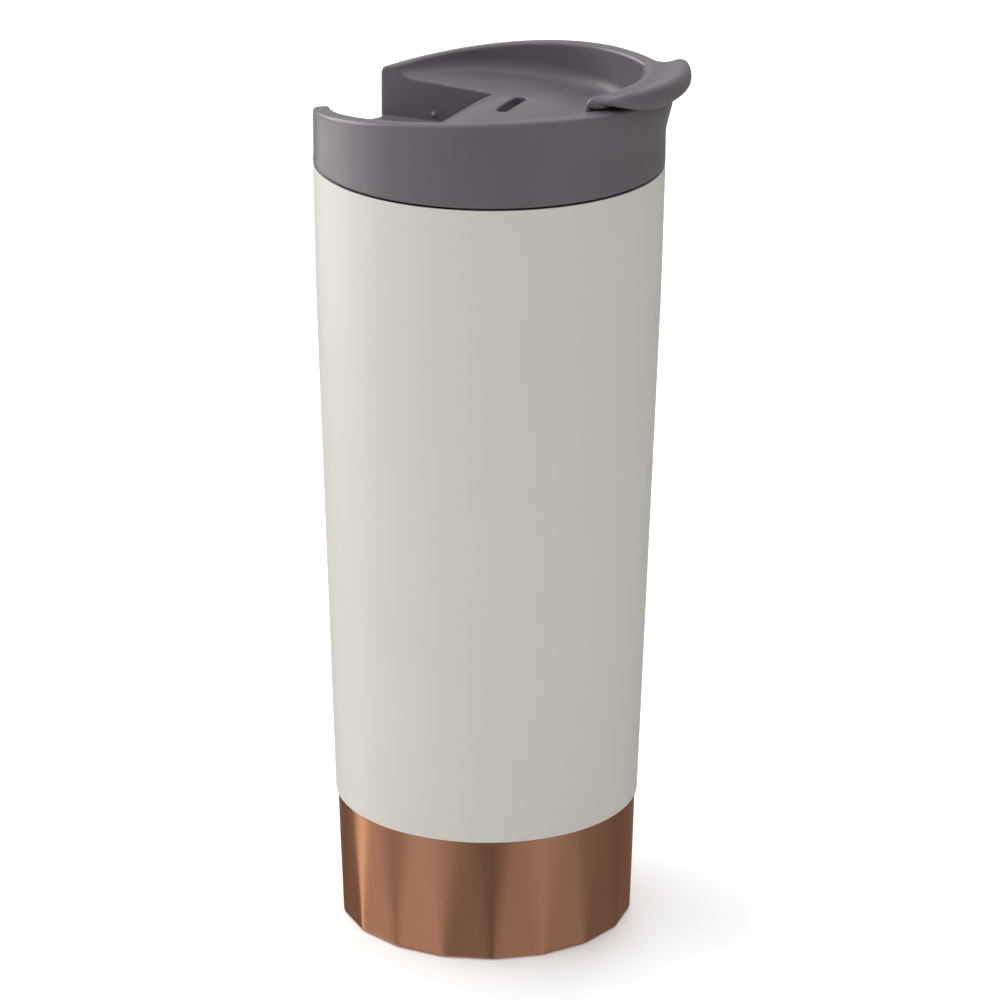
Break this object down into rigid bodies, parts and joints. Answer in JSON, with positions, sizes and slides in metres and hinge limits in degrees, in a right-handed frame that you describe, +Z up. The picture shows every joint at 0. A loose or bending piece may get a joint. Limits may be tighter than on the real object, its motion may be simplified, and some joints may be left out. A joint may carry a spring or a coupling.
{
  "type": "insulated tumbler",
  "caption": "Tapered double-wall vacuum tumbler with a faceted metal base, a push-on lid and a flip lever that closes the drinking spout.",
  "frame": {"origin": "centre of the foot pad's underside, on the table", "axes": "+Z up along the tumbler's axis, +X towards the drinking spout, +Y to the left seen from behind the spout"},
  "size_m": [0.086, 0.0798, 0.2062],
  "materials": {
    "white_paint": "satin powder coat",
    "copper_plate": "satin copper plating on steel",
    "bare_steel": "satin",
    "copper_foil": "thin bright copper foil",
    "lid_plastic": "satin moulded polypropylene",
    "plug_plastic": "matte moulded polypropylene",
    "spacer_plastic": "matte",
    "silicone": "matte silicone",
    "getter_grey": "sintered, matte",
    "glass_solder": "dull glass solder"
  },
  "bodies": {
    "vessel": {"outer_wall": "white_paint", "outer_bottom": "bare_steel", "liner_wall": "bare_steel", "liner_bottom": "bare_steel", "copper_foil": "copper_foil", "getter_clip": "bare_steel", "getter_pellet": "getter_grey", "vacuum_seal": "glass_solder", "seal_cover": "bare_steel", "base_cup": "copper_plate", "base_spacer": "spacer_plastic", "foot_pad": "silicone"},
    "lid": {"lid_shell": "lid_plastic", "lid_plug": "plug_plastic", "spout_duct": "plug_plastic", "vent_tube": "plug_plastic", "plug_gasket": "silicone", "hinge_pin": "bare_steel"},
    "lever": {"lever_shell": "lid_plastic", "lever_cover": "plug_plastic", "spout_stopper": "silicone", "vent_stopper": "silicone"}
  },
  "joints": [
    {"name": "lid_lift", "type": "slide", "parent": "vessel", "child": "lid", "axis": [0, 0, 1], "range_m": [0, 0.04]},
    {"name": "lever_hinge", "type": "hinge", "parent": "lid", "child": "lever", "pos_m": [-0.0215, 0, 0.1856], "axis": [0, -1, 0], "range_deg": [0, 150]}
  ]
}
